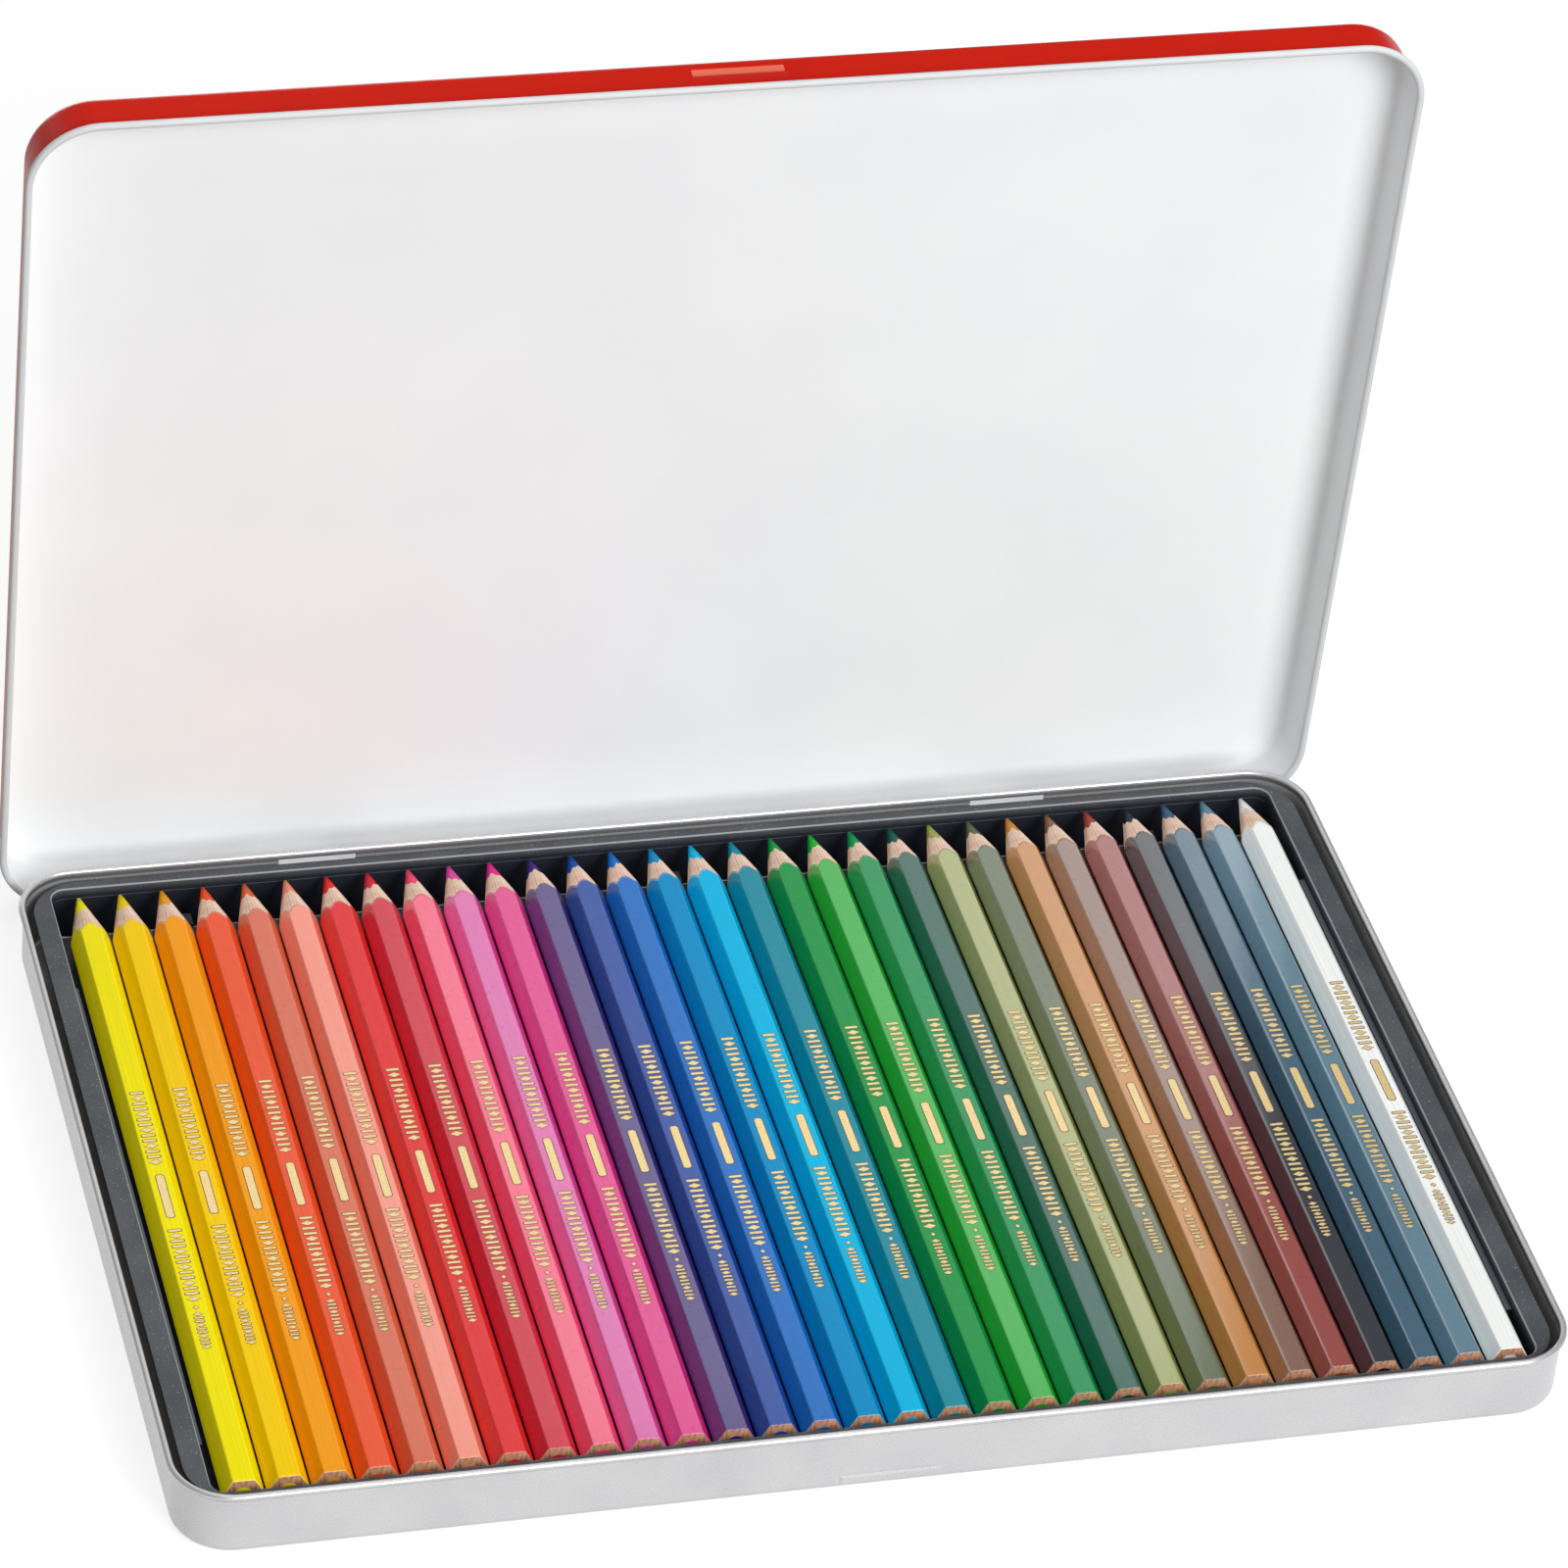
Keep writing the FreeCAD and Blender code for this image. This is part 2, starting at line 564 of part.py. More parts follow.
def hexagon(body, name):
    """A regular hexagon with a corner on each side of the origin."""
    sketch = new_sketch(body, name, "XY_Plane")
    radius = value("worked.pencil_circumradius")
    turn = math.radians(FULL_TURN / 6)
    points = [
        Vector(radius * math.cos(turn * index), radius * math.sin(turn * index), 0)
        for index in range(6)
    ]
    for index in range(6):
        sketch.addGeometry(Part.LineSegment(points[index], points[(index + 1) % 6]))
    ring = sketch.addGeometry(Part.Circle(Vector(), Vector(0, 0, 1), radius), True)
    sketch.addConstraint(Sketcher.Constraint("Coincident", ring, 3, -1, 1))
    for index in range(6):
        sketch.addConstraint(Sketcher.Constraint("Coincident", index, 2, (index + 1) % 6, 1))
        sketch.addConstraint(Sketcher.Constraint("PointOnObject", index, 1, ring))
    for index in range(1, 6):
        sketch.addConstraint(Sketcher.Constraint("Equal", 0, index))
    sketch.addConstraint(Sketcher.Constraint("PointOnObject", 0, 1, -1))
    dimension(sketch, "reach", Sketcher.Constraint("Radius", ring, radius), "worked.pencil_circumradius")
    return sketch


def make_casing():
    """The wooden casing along its own axis: rounded hexagon, sharpened end and lead bore."""
    body = new_body("pencil_casing")
    stick = pad(body, "casing_stick", hexagon(body, "casing_section"), "sizes.pencil_length")
    doc.recompute()
    rounding = body.newObject("PartDesign::Fillet", "casing_edges")
    long_edges = [
        f"Edge{index}" for index, edge in enumerate(stick.Shape.Edges, start=1)
        if edge.BoundBox.ZLength > value("sizes.pencil_length") / 2
    ]
    rounding.Base = (stick, long_edges)
    bind(rounding, {"Radius": "sizes.pencil_edge_radius"})
    doc.recompute()
    corners = [
        ("worked.tip_radius", "sizes.pencil_length"),
        ("worked.cone_mouth", "worked.cone_foot"),
        ("worked.cone_mouth", "sizes.pencil_length + sizes.pencil_edge_radius"),
        ("worked.tip_radius", "sizes.pencil_length + sizes.pencil_edge_radius"),
    ]
    waste = polygon(body, "cone_waste", "XZ_Plane", corners)
    cone = body.newObject("PartDesign::Groove", "casing_cone")
    cone.Profile = waste
    cone.ReferenceAxis = (waste, ["V_Axis"])
    cone.Angle = FULL_TURN
    doc.recompute()
    round_bore = new_sketch(body, "bore_section", "XY_Plane")
    round_bore.addGeometry(Part.Circle(Vector(), Vector(0, 0, 1), value("worked.lead_radius")))
    round_bore.addConstraint(Sketcher.Constraint("Coincident", 0, 3, -1, 1))
    bore_radius = Sketcher.Constraint("Radius", 0, value("worked.lead_radius"))
    dimension(round_bore, "bore", bore_radius, "worked.lead_radius")
    bore = pocket(body, "casing_bore", round_bore, "sizes.pencil_length + sizes.pencil_edge_radius")
    bore.Reversed = True
    doc.recompute()
    return body


def make_lead():
    """The coloured lead, with its sharpened end."""
    body = new_body("pencil_lead")
    corners = [
        ("0", "0"),
        ("worked.lead_radius", "0"),
        ("worked.lead_radius", "worked.lead_shoulder"),
        ("worked.tip_radius", "sizes.pencil_length"),
        ("0", "sizes.pencil_length"),
    ]
    profile = polygon(body, "lead_profile", "XZ_Plane", corners)
    turned = body.newObject("PartDesign::Revolution", "lead_turned")
    turned.Profile = profile
    turned.ReferenceAxis = (profile, ["V_Axis"])
    turned.Angle = FULL_TURN
    doc.recompute()
    return body


COLOURS = (
    "lemon", "golden", "amber", "vermilion", "apricot", "salmon", "scarlet", "carmine", "pink", "lilac",
    "magenta", "violet", "ultramarine", "blue", "cerulean", "light_blue", "teal", "green", "light_green",
    "emerald", "dark_green", "light_olive", "dark_olive", "ochre", "brown", "russet", "black", "dark_grey",
    "blue_grey", "white",
)


def make_pencils():
    """The row of pencils, all made from one casing and one lead, tips to the back."""
    casing, lead = make_casing(), make_lead()
    pencils = []
    for index in range(SIZES["pencil_count"]):
        pencil = doc.addObject("Part::Compound", f"pencil_{index + 1:02d}_{COLOURS[index % len(COLOURS)]}")
        pencil.Links = [casing, lead]
        pencil.Placement = FreeCAD.Placement(Vector(), Rotation(Vector(1, 0, 0), -FULL_TURN / 4))
        bind(pencil, {
            "Placement.Base.x": f"({index} - (sizes.pencil_count - 1) / 2) * sizes.pencil_pitch",
            "Placement.Base.y": "worked.pencil_butt",
            "Placement.Base.z": "worked.pencil_axis_height",
        })
        pencils.append(pencil)
    return pencils


nodes = [make_tin_base(), make_tin_lid(), make_pencil_tray(), *make_pencils()]
doc.recompute()

# Nothing is written unless every object is sound
for thing in doc.Objects:
    if any(word in thing.State for word in OUT_OF_SHAPE):
        raise RuntimeError(f"{thing.Name} failed: {thing.State}")
for node in nodes:
    if node.Shape.isNull() or not node.Shape.isValid():
        raise RuntimeError(f"{node.Label} has no sound shape")

os.makedirs("parts", exist_ok=True)
for node in nodes:
    node.Shape.exportStep(f"parts/{node.Label}.step")
    print(f"{node.Label}: {len(node.Shape.Solids)} solids, {node.Shape.Volume:.1f} cubic mm")
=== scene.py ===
import json
import math

import bmesh
import bpy
from mathutils import Euler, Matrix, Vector


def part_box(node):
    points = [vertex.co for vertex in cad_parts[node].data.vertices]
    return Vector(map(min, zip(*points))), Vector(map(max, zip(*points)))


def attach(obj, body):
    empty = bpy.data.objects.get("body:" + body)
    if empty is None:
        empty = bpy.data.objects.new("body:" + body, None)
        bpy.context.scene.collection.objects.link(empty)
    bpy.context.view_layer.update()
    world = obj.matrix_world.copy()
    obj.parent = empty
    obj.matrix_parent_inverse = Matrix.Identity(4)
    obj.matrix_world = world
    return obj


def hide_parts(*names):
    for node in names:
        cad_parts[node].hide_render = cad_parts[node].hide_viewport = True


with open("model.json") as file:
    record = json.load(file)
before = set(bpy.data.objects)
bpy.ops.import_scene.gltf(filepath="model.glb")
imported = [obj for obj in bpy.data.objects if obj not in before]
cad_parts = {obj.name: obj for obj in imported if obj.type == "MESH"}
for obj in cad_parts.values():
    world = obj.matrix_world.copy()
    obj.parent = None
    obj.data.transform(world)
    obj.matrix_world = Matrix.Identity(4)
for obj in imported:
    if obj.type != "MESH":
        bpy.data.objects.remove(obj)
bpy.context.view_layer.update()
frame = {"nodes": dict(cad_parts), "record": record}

NODES = frame["nodes"]
JOINTS = {joint["name"]: joint for joint in frame["record"]["behaviour"]["joints"]}
PENCILS = sorted(name for name in NODES if name.split("_")[1].isdigit())

# Lid, in metres
SHEET = 0.0003
HEM_RADIUS = 0.00072
HEM_OFFSET = 0.00032
LID_CORNER = 0.0128
LID_DEPTH = 0.0111
LID_BEND = 0.0020
LID_DRAFT = 0.0003
PANEL_MARGIN = 0.0012
CATCH_HALF_WIDTH = 0.0097
CATCH_TAPER = 0.0009
CATCH_LOW = 0.0056
CATCH_HIGH = 0.0082
CATCH_SLOPE = 0.0004
CATCH_DEPTH = 0.00052
HINGE_OFFSET = 0.0707
SLOT_HALF_WIDTH = 0.0077
SLOT_HEIGHT = 0.0034

# Pencils, in metres and degrees
PENCIL_SIDES = 6
PENCIL_FLATS = 0.0069
PENCIL_EDGE_RADIUS = 0.00045
CONE_HALF_ANGLE = 14.0
LEAD_RADIUS = 0.0018
TIP_RADIUS = 0.00035
LACQUER_RIM = 0.00012
UNDERCOAT = 0.00022

# Blunted point, in shares of the radius of the tip
POINT_NECK_SHARE = 1.1
POINT_END_SHARE = 0.55
POINT_SINK_SHARE = 0.1

# Border of wood and lead: share of the lead's radius, waves round the pencil, shift per pencil
BORDER_WAVES = ((0.10, 3, 1), (0.06, 8, 3))

# Stamped rows: first mark from the sawn end, number of marks, pitch and height, in metres
FOIL_ROWS = (
    (0.0365, 10, 0.00102, 0.0017),
    (0.0500, 14, 0.00150, 0.0025),
    (0.0895, 14, 0.00158, 0.0025),
)

# Single stamped marks: middle from the sawn end, length and height, in metres
FOIL_DOT = (0.0476, 0.0010, 0.0009)
FOIL_BAR = (0.0795, 0.0124, 0.0015)

# Thickness of the foil in metres, and shares of the pitch or of the mark
FOIL_LIFT = 0.00002
FOIL_SINK = 0.00001
# Width of the plate of painted shadow round each mark
FOIL_SHADOW_MARGIN = 0.00015
DIAMOND_EVERY = 3
DIAMOND_SHARE = 0.9
STROKE_SHARE = 0.40
CORNER_SHARE = 0.25

# Heights and widths of the bands of painted shade and painted highlight on the base and the tray,
# in metres
CURL_FOOT = 0.0130
CURL_SHADE = 0.00040
WELL_RIM = 0.0119
WELL_DEEP = 0.0106
BED_TOP = 0.00715
TROUGH_EDGE = 0.0800
EDGE_HIGHLIGHT_WIDTH = 0.00025
RAIL_TOP = 0.00995
RAIL_HIGHLIGHT_WIDTH = EDGE_HIGHLIGHT_WIDTH / 4

# Stage, in metres and shares of full light
FLOOR_SIDE = 12.0
FLOOR_GAP = 0.0002
FLOOR_TINT = (0.30, 0.30, 0.30, 1.0)
FLOOR_GLOW = 0.80
WORLD_LEVEL = 0.18
WHITE = (1.0, 1.0, 1.0, 1.0)

# Lamps: place, target, width and height in metres, power in watts
LAMPS = {
    "overhead_softbox": ((0.25, 0.05, 1.5), (0.0, 0.05, 0.0), (1.5, 1.5), 8.8),
    "right_softbox": ((0.6, -1.55, 1.0), (0.03, 0.05, 0.05), (1.0, 1.0), 24.0),
    "front_softbox": ((0.1, -1.7, 0.9), (0.0, 0.09, 0.08), (1.4, 1.0), 9.5),
    "back_softbox": ((-0.3, 2.0, 0.35), (0.0, 0.1, 0.1), (1.4, 0.6), 12.0),
}

# Camera found from the tips, the ends of the pencils and both rims
PHOTO_SIDE = 1600.0
FOCAL_PIXELS = 7779.6
CAMERA_PLACE = Vector((-0.33718, -1.07690, 0.92351))
CAMERA_TURN = (53.4421, -4.4935, -13.8381)
SENSOR = 36.0

# Pigments as screen values from 0 to 255, and the weight of the clear coat over them
PIGMENTS = {
    "lemon": ((246, 232, 6), 0.01), "golden": ((251, 207, 5), 0.02),
    "amber": ((248, 160, 8), 0.06), "vermilion": ((240, 82, 30), 0.2),
    "apricot": ((220, 97, 56), 0.45), "salmon": ((252, 140, 114), 0.65),
    "scarlet": ((228, 40, 40), 0.2), "carmine": ((212, 36, 60), 0.35),
    "pink": ((252, 70, 116), 0.8), "lilac": ((224, 70, 166), 0.85),
    "magenta": ((230, 42, 138), 0.5), "violet": ((60, 34, 122), 0.6),
    "ultramarine": ((22, 72, 160), 0.33), "blue": ((14, 110, 194), 0.2),
    "cerulean": ((0, 142, 198), 0.06), "light_blue": ((0, 182, 226), 0.05),
    "teal": ((0, 138, 158), 0.16), "green": ((0, 148, 64), 0.16),
    "light_green": ((26, 176, 46), 0.5), "emerald": ((0, 148, 80), 0.3),
    "dark_green": ((0, 90, 74), 0.55), "light_olive": ((162, 168, 84), 0.95),
    "dark_olive": ((90, 104, 68), 0.75), "ochre": ((206, 136, 56), 0.75),
    "brown": ((138, 98, 76), 1.0), "russet": ((160, 62, 54), 0.9),
    "black": ((26, 33, 46), 0.85), "dark_grey": ((56, 98, 122), 0.85),
    "blue_grey": ((98, 138, 158), 0.95), "white": ((246, 248, 245), 0.09),
}


def colour(red, green, blue):
    """A linear colour from screen values."""
    def linear(level):
        share = level / 255
        return share / 12.92 if share <= 0.04045 else ((share + 0.055) / 1.055) ** 2.4
    return linear(red), linear(green), linear(blue), 1.0


def shade(tint, factor):
    """The same colour, lighter or darker."""
    return tuple(min(1.0, channel * factor) for channel in tint[:3]) + (1.0,)


# Tones of the other materials

PAINT_EDGE = colour(236, 222, 206)
CEDAR_DULL = colour(238, 202, 176)
CEDAR_FRESH = colour(250, 224, 204)
CEDAR_LINE = colour(206, 152, 120)
CEDAR_PORE = colour(150, 98, 70)
SAWN_PALE = colour(210, 158, 122)
SAWN_RING = colour(152, 98, 68)
SAWN_SPECK = colour(118, 72, 50)
GOLD_BRIGHT = colour(255, 232, 172)
GOLD_WORN = colour(240, 204, 136)
# Painted shadow of the stamping's pressed edge round each gold mark
STAMP_SHADOW_DARK = colour(52, 36, 28)
STAMP_SHADOW_PALE = colour(88, 62, 44)
TIN_DULL = colour(202, 202, 204)
TIN_BRIGHT = colour(212, 212, 213)
TIN_SPECK = colour(176, 177, 180)
# Painted shade under the curl of the tin's rim
TIN_CURL_SHADE = colour(132, 132, 134)
LID_WHITES = colour(241, 243, 245), colour(245, 247, 248)
# Painted shade: the hem's white lacquer is the lid's white made darker
HEM_SHADED_WHITES = colour(212, 214, 216), colour(218, 220, 221)
LID_REDS = colour(207, 24, 3), colour(215, 30, 6)
# Paler red for the dent's floor: a painted highlight
DENT_HIGHLIGHT_REDS = colour(226, 100, 76), colour(236, 122, 98)
TRAY_DULL = colour(70, 74, 79)
TRAY_BRIGHT = colour(84, 88, 92)
TRAY_FLECK = colour(170, 173, 175)
# Painted highlight on the tray's upward-sloping faces
TRAY_LIP_HIGHLIGHT = colour(150, 154, 156)
# Painted shade in the tray's well: a darker copy of the grey sheet and its flecks
WELL_SHADE_DARK = colour(38, 41, 50)
WELL_SHADE_FLECK = colour(96, 100, 110)
# Painted highlight on the tops of the tray's rails
RAIL_HIGHLIGHT_TONE = colour(96, 101, 110)
# Painted highlight along the bed's back edge above the trough
TROUGH_HIGHLIGHT_TONE = colour(190, 194, 198)

# Levels between which most of a noise lies
NOISE_SPAN = (0.3, 0.7)
STREAK_SPAN = (0.35, 0.65)


class Shader:
    """One material and short calls that add its nodes."""

    def __init__(self, name):
        self.material = bpy.data.materials.new(name)
        self.material.use_nodes = True
        self.tree = self.material.node_tree
        self.tree.nodes.clear()
        self.place = self.add("TexCoord").outputs["Object"]

    def add(self, kind, inputs=None, **settings):
        """A node whose inputs are constants or outputs of other nodes."""
        node = self.tree.nodes.new("ShaderNode" + kind)
        for name, setting in settings.items():
            setattr(node, name, setting)
        for key, given in (inputs or {}).items():
            if isinstance(given, bpy.types.NodeSocket):
                self.tree.links.new(given, node.inputs[key])
            else:
                node.inputs[key].default_value = given
        return node

    def math(self, operation, *given):
        """One sum on constants or outputs of other nodes."""
        return self.add("Math", dict(enumerate(given)), operation=operation).outputs[0]

    def parts(self, vector):
        """The outputs X, Y and Z of a vector."""
        return self.add("SeparateXYZ", {0: vector}).outputs

    def noise(self, scale, detail=3.0, stretch=(1.0, 1.0, 1.0), place=None):
        """Noise over the object's own coordinates, in cycles per metre."""
        mapped = self.add("Mapping", {"Vector": place or self.place, "Scale": stretch})
        node = self.add("TexNoise", {"Vector": mapped.outputs[0], "Scale": scale, "Detail": detail})
        return node.outputs["Fac"]

    def spread(self, source, span, ends=(0.0, 1.0)):
        """A value moved from one range to another."""
        ranges = {"From Min": span[0], "From Max": span[1], "To Min": ends[0], "To Max": ends[1]}
        return self.add("MapRange", {"Value": source, **ranges}).outputs[0]

    def mix(self, factor, first, second):
        """A colour between two others."""
        node = self.add("Mix", {0: factor, 6: first, 7: second}, data_type="RGBA")
        return node.outputs[2]

    def blend(self, source, span, first, second, most=1.0):
        """A colour that passes from one to another while a value crosses a span."""
        return self.mix(self.spread(source, span, (0.0, most)), first, second)

    def bump(self, height, distance, strength):
        """A relief whose full height is given in metres."""
        node = self.add("Bump", {"Height": height, "Distance": distance, "Strength": strength})
        return node.outputs[0]

    def finish(self, **inputs):
        """The closing surface node; underscores in names stand for blanks."""
        named = {name.replace("_", " "): given for name, given in inputs.items()}
        surface = self.add("BsdfPrincipled", named)
        self.add("OutputMaterial", {"Surface": surface.outputs[0]})
        return self.material


def lacquer(name, tint, coat):
    """Glossy pencil lacquer with faint drawn streaks and a slight orange peel."""
    shader = Shader(name)
    streaks = shader.noise(scale=1.0, detail=2.0, stretch=(2600.0, 7.0, 2600.0))
    peel = shader.noise(scale=2400.0, detail=2.0)
    haze = shader.noise(scale=420.0)
    return shader.finish(
        Base_Color=shader.blend(streaks, STREAK_SPAN, shade(tint, 0.94), shade(tint, 1.04)),
        Roughness=shader.spread(haze, NOISE_SPAN, (0.26, 0.34)),
        Specular_IOR_Level=0.08 + 0.2 * coat,
        Specular_Tint=(0.75, 0.9, 1.0, 1.0),
        Coat_Weight=coat,
        Coat_Roughness=0.14,
        Coat_IOR=2.8,
        Normal=shader.bump(peel, distance=0.000004, strength=0.15),
    )


def undercoat(name, tint):
    """The cut edge of the paint, paler than its face."""
    shader = Shader(name)
    grain = shader.noise(scale=2600.0, detail=2.0)
    pale = shader.mix(0.45, tint, PAINT_EDGE)
    return shader.finish(
        Base_Color=shader.blend(grain, NOISE_SPAN, shade(tint, 0.9), pale),
        Roughness=0.6,
        Normal=shader.bump(grain, distance=0.00002, strength=0.5),
    )


def cedar():
    """Pale pinkish cedar, its fine grain running from the paint to the point."""
    shader = Shader("cedar")
    place = shader.parts(shader.place)
    round_axis = shader.math("ARCTAN2", place["X"], place["Z"])
    unrolled = shader.add("CombineXYZ", {"X": round_axis, "Y": place["Y"]}).outputs[0]
    lines = shader.noise(scale=1.0, stretch=(11.0, 50.0, 1.0), place=unrolled)
    pores = shader.noise(scale=1.0, detail=2.0, stretch=(24.0, 170.0, 1.0), place=unrolled)
    broad = shader.noise(scale=260.0, detail=2.0)
    tone = shader.blend(broad, STREAK_SPAN, CEDAR_DULL, CEDAR_FRESH)
    tone = shader.blend(lines, (0.5, 0.72), tone, CEDAR_LINE)
    tone = shader.blend(pores, (0.6, 0.72), tone, CEDAR_PORE, most=0.7)
    return shader.finish(
        Base_Color=tone,
        Roughness=0.68,
        Specular_IOR_Level=0.2,
        Normal=shader.bump(lines, distance=0.00003, strength=0.5),
    )


def sawn_end():
    """Raw sawn end grain, browner than the sharpened wood."""
    shader = Shader("sawn_end")
    rings = shader.noise(scale=1.0, detail=4.0, stretch=(1500.0, 1500.0, 420.0))
    specks = shader.noise(scale=4200.0)
    tone = shader.blend(rings, (0.38, 0.64), SAWN_PALE, SAWN_RING)
    tone = shader.blend(specks, (0.55, 0.72), tone, SAWN_SPECK, most=0.6)
    return shader.finish(
        Base_Color=tone,
        Roughness=0.85,
        Normal=shader.bump(specks, distance=0.00008, strength=0.7),
    )


def lead(name, tint):
    """Waxy coloured lead with fine scoring."""
    shader = Shader(name)
    grain = shader.noise(scale=3400.0)
    return shader.finish(
        Base_Color=shader.blend(grain, (0.35, 0.68), shade(tint, 0.9), shade(tint, 1.3)),
        Roughness=0.42,
        Specular_IOR_Level=0.15,
        Normal=shader.bump(grain, distance=0.00003, strength=0.5),
    )


def gold_foil():
    """Hot-stamped pale gold foil, slightly worn."""
    shader = Shader("gold_foil")
    wear_and_highlight = shader.noise(scale=2600.0)
    return shader.finish(
        Base_Color=shader.blend(wear_and_highlight, (0.4, 0.7), GOLD_BRIGHT, GOLD_WORN),
        Metallic=0.4,
        Roughness=shader.spread(wear_and_highlight, NOISE_SPAN, (0.28, 0.45)),
        Normal=shader.bump(wear_and_highlight, distance=0.00002, strength=0.4),
    )


def stamp_painted_shadow():
    """A painted shadow round a stamped mark, standing in for the shade along its pressed edge."""
    shader = Shader("stamp_painted_shadow")
    wear_and_highlight = shader.noise(scale=2600.0)
    tone = shader.blend(wear_and_highlight, NOISE_SPAN, STAMP_SHADOW_DARK, STAMP_SHADOW_PALE)
    return shader.finish(Base_Color=tone, Roughness=0.5)


def tin_silver():
    """Satin silver tinplate with fine mill speckle, and a band of painted shade under the curl of
    its rim.
    """
    shader = Shader("tin_silver_satin")
    speckle = shader.noise(scale=6500.0, detail=2.0)
    cloud = shader.noise(scale=55.0, detail=2.0)
    # A band of painted shade on the wall just under the rim's curl
    curl_shade_band = shader.math("COMPARE", shader.parts(shader.place)["Z"], CURL_FOOT, CURL_SHADE)
    tone = shader.blend(cloud, NOISE_SPAN, TIN_DULL, TIN_BRIGHT)
    tone = shader.blend(speckle, (0.54, 0.8), tone, TIN_SPECK, most=0.2)
    tone = shader.mix(curl_shade_band, tone, TIN_CURL_SHADE)
    return shader.finish(
        Base_Color=tone,
        Metallic=0.55,
        Roughness=shader.spread(speckle, NOISE_SPAN, (0.26, 0.32)),
        Normal=shader.bump(speckle, distance=0.000005, strength=0.3),
    )


def white_lacquer(name, dull, clean):
    """Smooth white lacquer with the faint gloss of coated sheet."""
    shader = Shader(name)
    cloud = shader.noise(scale=30.0, detail=2.0)
    speckle = shader.noise(scale=2400.0, detail=2.0)
    tone = shader.blend(cloud, NOISE_SPAN, dull, clean)
    tone = shader.blend(speckle, (0.6, 0.85), tone, shade(dull, 0.88), most=0.3)
    return shader.finish(
        Base_Color=tone,
        Roughness=shader.spread(speckle, NOISE_SPAN, (0.36, 0.44)),
        Specular_IOR_Level=0.15,
        Normal=shader.bump(speckle, distance=0.000006, strength=0.3),
    )


def red_lacquer(name, deep, bright):
    """Red outside of the lid, with a slight orange peel."""
    shader = Shader(name)
    cloud = shader.noise(scale=40.0, detail=2.0)
    peel = shader.noise(scale=1300.0, detail=2.0)
    return shader.finish(
        Base_Color=shader.blend(cloud, NOISE_SPAN, deep, bright),
        Roughness=shader.spread(peel, NOISE_SPAN, (0.28, 0.36)),
        Specular_IOR_Level=0.15,
        Normal=shader.bump(peel, distance=0.000008, strength=0.3),
    )


def tray_plastic():
    """Grey formed sheet with pale flecks, with painted shade in the well, and painted highlights on
    its sloped edges, the rail tops and the trough's edge.
    """
    shader = Shader("tray_formed_grey")
    tooth = shader.noise(scale=2300.0, detail=4.0)
    flecks = shader.noise(scale=2600.0, detail=1.0)
    cloud = shader.noise(scale=90.0, detail=2.0)
    place = shader.parts(shader.place)
    # Painted highlight on faces that slope upward, lighter because of how light falls on them
    facing = shader.parts(shader.add("NewGeometry").outputs["Normal"])["Z"]
    rising = shader.spread(facing, (0.10, 0.35))
    level = shader.spread(facing, (0.90, 0.99), (1.0, 0.0))
    lip = shader.math("MULTIPLY", rising, level)
    # Painted shade in the well, darker below its rim
    deep = shader.spread(place["Z"], (WELL_DEEP, WELL_RIM), (1.0, 0.0))
    # Painted highlight on the tops of the rails
    rail_highlight = shader.math("COMPARE", place["Z"], RAIL_TOP, RAIL_HIGHLIGHT_WIDTH)
    # Painted highlight along the back edge of the bed, where it steps down to the trough
    away = shader.math("COMPARE", place["Y"], TROUGH_EDGE, EDGE_HIGHLIGHT_WIDTH)
    high = shader.math("COMPARE", place["Z"], BED_TOP, EDGE_HIGHLIGHT_WIDTH)
    wear_and_highlight = shader.math("MULTIPLY", away, high)
    tone = shader.blend(cloud, NOISE_SPAN, TRAY_DULL, TRAY_BRIGHT)
    tone = shader.blend(flecks, (0.68, 0.76), tone, TRAY_FLECK, most=0.7)
    dark = shader.blend(flecks, (0.7, 0.8), WELL_SHADE_DARK, WELL_SHADE_FLECK, most=0.5)
    tone = shader.mix(deep, tone, dark)
    tone = shader.mix(rail_highlight, tone, RAIL_HIGHLIGHT_TONE)
    tone = shader.mix(lip, tone, TRAY_LIP_HIGHLIGHT)
    tone = shader.mix(wear_and_highlight, tone, TROUGH_HIGHLIGHT_TONE)
    return shader.finish(
        Base_Color=tone,
        Roughness=shader.spread(tooth, NOISE_SPAN, (0.38, 0.52)),
        Specular_IOR_Level=0.3,
        Normal=shader.bump(tooth, distance=0.00003, strength=0.4),
    )


def new_piece(name, bm, materials, body, place=Vector(), smooth=True):
    """A finished mesh as a piece that rides on a body."""
    bmesh.ops.recalc_face_normals(bm, faces=bm.faces)
    for face in bm.faces:
        face.smooth = smooth
    mesh = bpy.data.meshes.new(name)
    bm.to_mesh(mesh)
    bm.free()
    for material in materials:
        mesh.materials.append(material)
    piece = bpy.data.objects.new(name, mesh)
    piece.location = place
    bpy.context.scene.collection.objects.link(piece)
    if smooth:
        piece.modifiers.new("flat_faces_first", "WEIGHTED_NORMAL").keep_sharp = True
    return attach(piece, body)


def add_face(bm, corners, material):
    """One face with its material."""
    bm.faces.new(corners).material_index = material


def round_pairs(count):
    """Each index of a closed ring with the one after it."""
    return [(index, (index + 1) % count) for index in range(count)]


def join_rings(bm, first, second, material):
    """Quads between two closed rings of equal length."""
    for index, after in round_pairs(len(first)):
        add_face(bm, (first[index], first[after], second[after], second[index]), material)


def sharpen(ring):
    """Breaks the smooth shading along one ring of points."""
    for index, after in round_pairs(len(ring)):
        edge = next(edge for edge in ring[index].link_edges if ring[after] in edge.verts)
        edge.smooth = False


# Lid

OUTSIDE, INSIDE, DENT_HIGHLIGHT = range(3)
ARC_STEPS = 16
BEND_STEPS = 6
HEM_STEPS = 16


